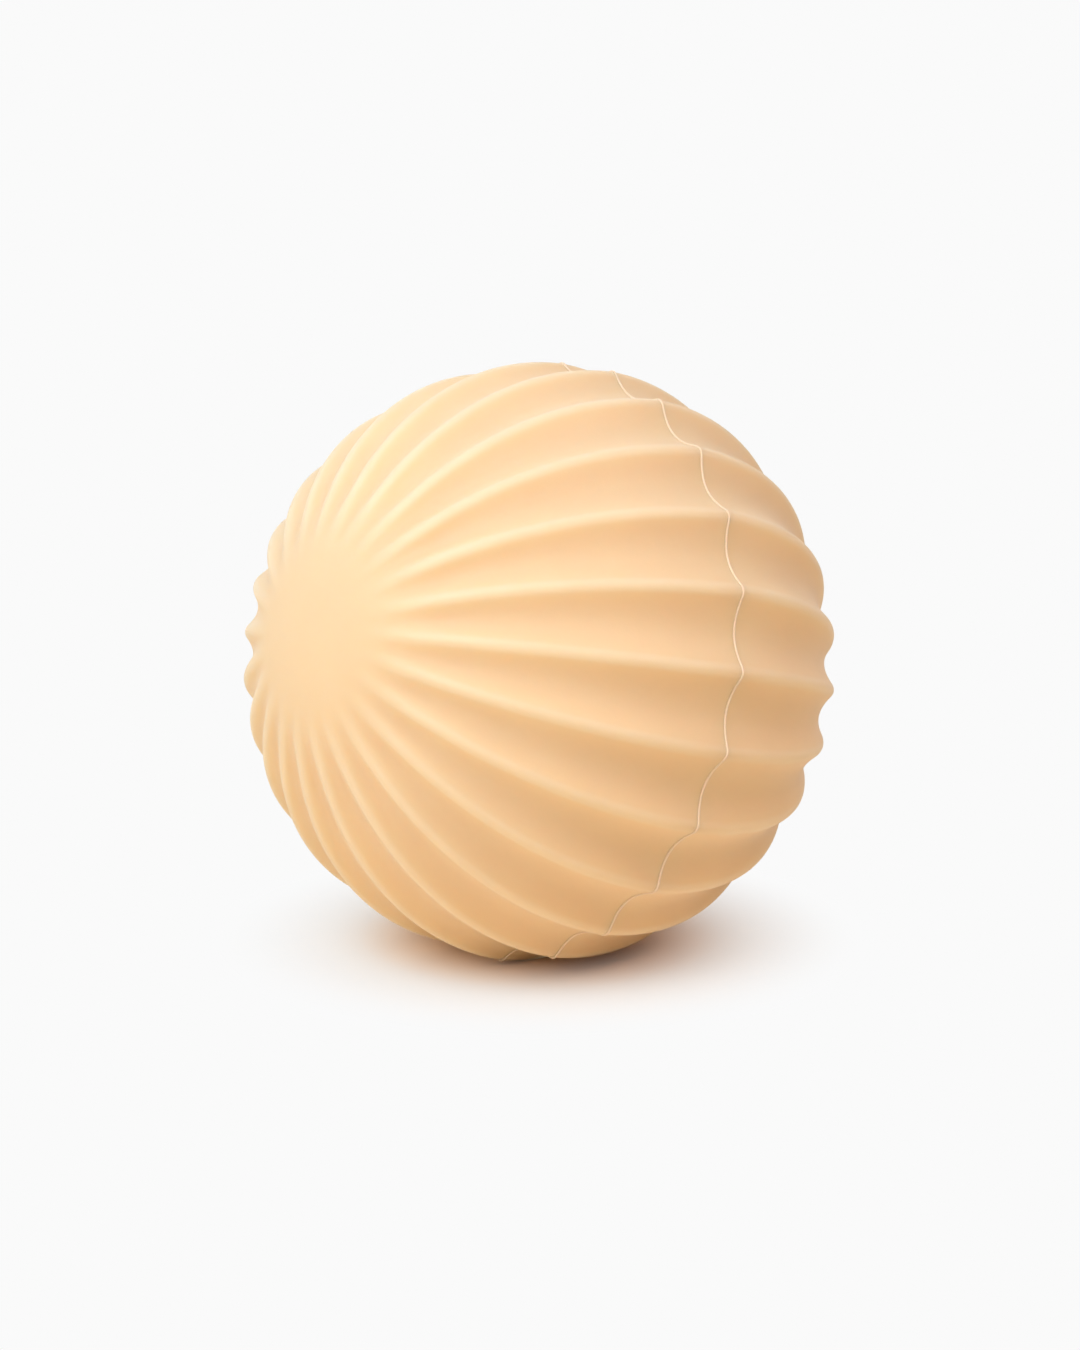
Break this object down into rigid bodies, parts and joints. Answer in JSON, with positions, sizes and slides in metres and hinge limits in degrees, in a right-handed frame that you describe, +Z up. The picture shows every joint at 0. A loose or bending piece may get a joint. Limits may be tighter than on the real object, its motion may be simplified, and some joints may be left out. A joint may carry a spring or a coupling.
{
  "type": "hand grip ball",
  "caption": "Soft fluted silicone ball squeezed in one hand to train grip, two bonded half shells with smooth poles over a resilient core.",
  "frame": {"origin": "middle of the ball, on the pole axis half-way between the two poles, 1.15 mm behind the seam plane", "axes": "+Z up as the ball lies on a table; the front pole points along -Y and 14.2 degrees above the horizontal; +X is level and at right angles to the pole axis, towards a flute"},
  "size_m": [0.0648, 0.0636, 0.0641],
  "materials": {
    "silicone_skin": "matte",
    "bond_silicone": "matte",
    "core_rubber": "matte"
  },
  "bodies": {
    "root": {"front_half_shell": "silicone_skin", "rear_half_shell": "silicone_skin", "seam_bond_ring": "bond_silicone", "resilient_core": "core_rubber"}
  },
  "joints": []
}
